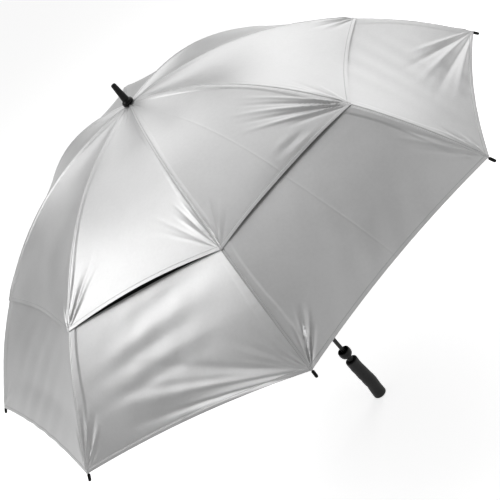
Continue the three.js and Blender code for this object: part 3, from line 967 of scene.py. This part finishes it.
def rib_fittings():
    """The hinged root of a rib, and the clamp that its stretcher hinges on."""
    rod_start = under(ROD_START + 1.5 * MM, ROD_DROP)
    eye = cross_disc(NOTCH_PIVOT, 2.4 * MM, -1 * MM, 1 * MM)
    strap = bar_between(NOTCH_PIVOT, rod_start, 1.9 * MM, 2.8 * MM)
    socket_end = rod_start + along_rib(ROD_START) * 9 * MM
    socket = swept("socket", [rod_start, socket_end], [2.3 * MM, 2.2 * MM], STRETCHER_BLACK)
    root = joined("rib_root", [eye, strap, socket], STRETCHER_BLACK)
    middle = under(BRACKET_RADIUS, ROD_DROP)
    reach = along_rib(BRACKET_RADIUS) * 7 * MM
    collar = swept("collar", [middle - reach, middle - reach * 0.9, middle + reach * 0.9, middle + reach],
                   [2.3 * MM, 2.6 * MM, 2.6 * MM, 2.3 * MM], RUNNER_PLASTIC)
    pivot = under(BRACKET_RADIUS, BRACKET_DROP)
    lug = cross_disc(pivot, 2.4 * MM, -2.2 * MM, 2.2 * MM)
    pin = cross_disc(pivot, 1 * MM, 0, 6.6 * MM)
    head = cross_disc(pivot, 1.9 * MM, 6.4 * MM, 7.3 * MM)
    clamp = joined("rib_clamp", [collar, lug, pin, head], RUNNER_PLASTIC)
    for piece in (root, clamp):
        for rib, copy in enumerate(turned_copies(piece)):
            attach(copy, f"rib_{rib + 1}")


def stretchers():
    """The pressed bar from the runner to the clamp on a rib, with a flat eye at each end."""
    side = SIDEWAYS * STRETCHER_SIDE
    high = under(BRACKET_RADIUS, BRACKET_DROP)
    away = (high - RUNNER_PIVOT).normalized()
    near, far = STRETCHER_SIDE - 1 * MM, STRETCHER_SIDE + 1 * MM
    low_eye = cross_disc(RUNNER_PIVOT, 2.5 * MM, near, far)
    high_eye = cross_disc(high, 3.2 * MM, near, far)
    ends = [RUNNER_PIVOT + side + away * 1.6 * MM, high + side - away * 2.4 * MM]
    bar = swept("bar", ends, [1.6 * MM, 1.6 * MM], STRETCHER_BLACK)
    strut = joined("stretcher_bar", [bar, low_eye, high_eye], STRETCHER_BLACK)
    for rib, copy in enumerate(turned_copies(strut)):
        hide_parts(f"stretcher_{rib + 1}")
        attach(copy, f"stretcher_{rib + 1}")


def tip_caps():
    outline = [(0.2, 8.3, 0), (TIP_BORE, 8.3, 0), (TIP_BORE, 0, 0.2), (3.0, 0, 0.2), (3.2, 1.2, 0.4),
               (3.2, 11.2, 1.5), (2.5, 13.2, 1), (1.4, 14, 0.5), (0.2, 14, 0)]
    cap = turned("rib_tip", rounded(outline), FERRULE_PLASTIC, 24)
    lay_along(cap, under(RIM_RADIUS, ROD_DROP) + along_rib(RIM_RADIUS) * 0.5 * MM, along_rib(RIM_RADIUS))
    for rib, copy in enumerate(turned_copies(cap)):
        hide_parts(f"tip_cap_{rib + 1}")
        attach(copy, f"rib_{rib + 1}_end")


rib_rod()
rib_fittings()
stretchers()
tip_caps()

# ---------------------------------------------------------------- pieces that keep their shape

KEPT = {"crown_wire": STEEL, "top_catch": STEEL, "bottom_catch": STEEL}
for name, material in KEPT.items():
    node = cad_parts[name]
    node.data.materials.clear()
    node.data.materials.append(material)

# ---------------------------------------------------------------- studio


def paper():
    """White paper, lit from below as a light table is."""
    material, place, shader = new_material("white_paper_floor", Roughness=0.9)
    feed(shader, "Base Color", place.noise(0.8, 2.0).blend(grey(0.9), grey(0.93)))
    shader.inputs["Emission Color"].default_value = grey(1.0)
    shader.inputs["Emission Strength"].default_value = 0.74
    return material


def floor():
    clear_selection()
    bpy.ops.mesh.primitive_circle_add(vertices=96, radius=60, fill_type="NGON")
    sheet = bpy.context.object
    sheet.name = "floor"
    sheet.data.materials.append(paper())


SOFTBOX_SIZE = 2.0
SOFTBOX_DISTANCE = 3.0


def softbox(name, azimuth, elevation, watts):
    """A round softbox that faces the canopy. Azimuth is counted from +X towards +Y, in degrees."""
    turn, rise = math.radians(azimuth), math.radians(elevation)
    towards = Vector((math.cos(turn) * math.cos(rise), math.sin(turn) * math.cos(rise), math.sin(rise)))
    middle = Vector((0, 0, RIM_HEIGHT))
    bpy.ops.object.light_add(type="AREA", location=middle + towards * SOFTBOX_DISTANCE)
    light = bpy.context.object
    light.name = name
    light.data.shape = "DISK"
    light.data.size = SOFTBOX_SIZE
    light.data.energy = watts
    light.rotation_mode = "QUATERNION"
    light.rotation_quaternion = towards.to_track_quat("Z", "Y")


def sky():
    """An even grey room, paler towards the horizon."""
    world = bpy.data.worlds.new("studio")
    bpy.context.scene.world = world
    world.use_nodes = True
    tree = world.node_tree
    place = Wire(tree, tree.nodes.new("ShaderNodeTexCoord").outputs["Generated"])
    tone = place.axis(2).between(0.05, 0.4).blend(grey(0.36), grey(0.2))
    tree.links.new(tone.socket, tree.nodes["Background"].inputs["Color"])


floor()
softbox("left_softbox", 180, 50, 29.5)
softbox("back_softbox", 60, 50, 16)
softbox("low_back_softbox", 45, 20, 15)
softbox("back_left_softbox", 120, 52, 12)
softbox("right_softbox", 0, 50, 10)
softbox("top_softbox", 0, 80, 7)
softbox("front_softbox", 315, 20, 5)
sky()
bpy.context.scene.view_settings.view_transform = "Standard"
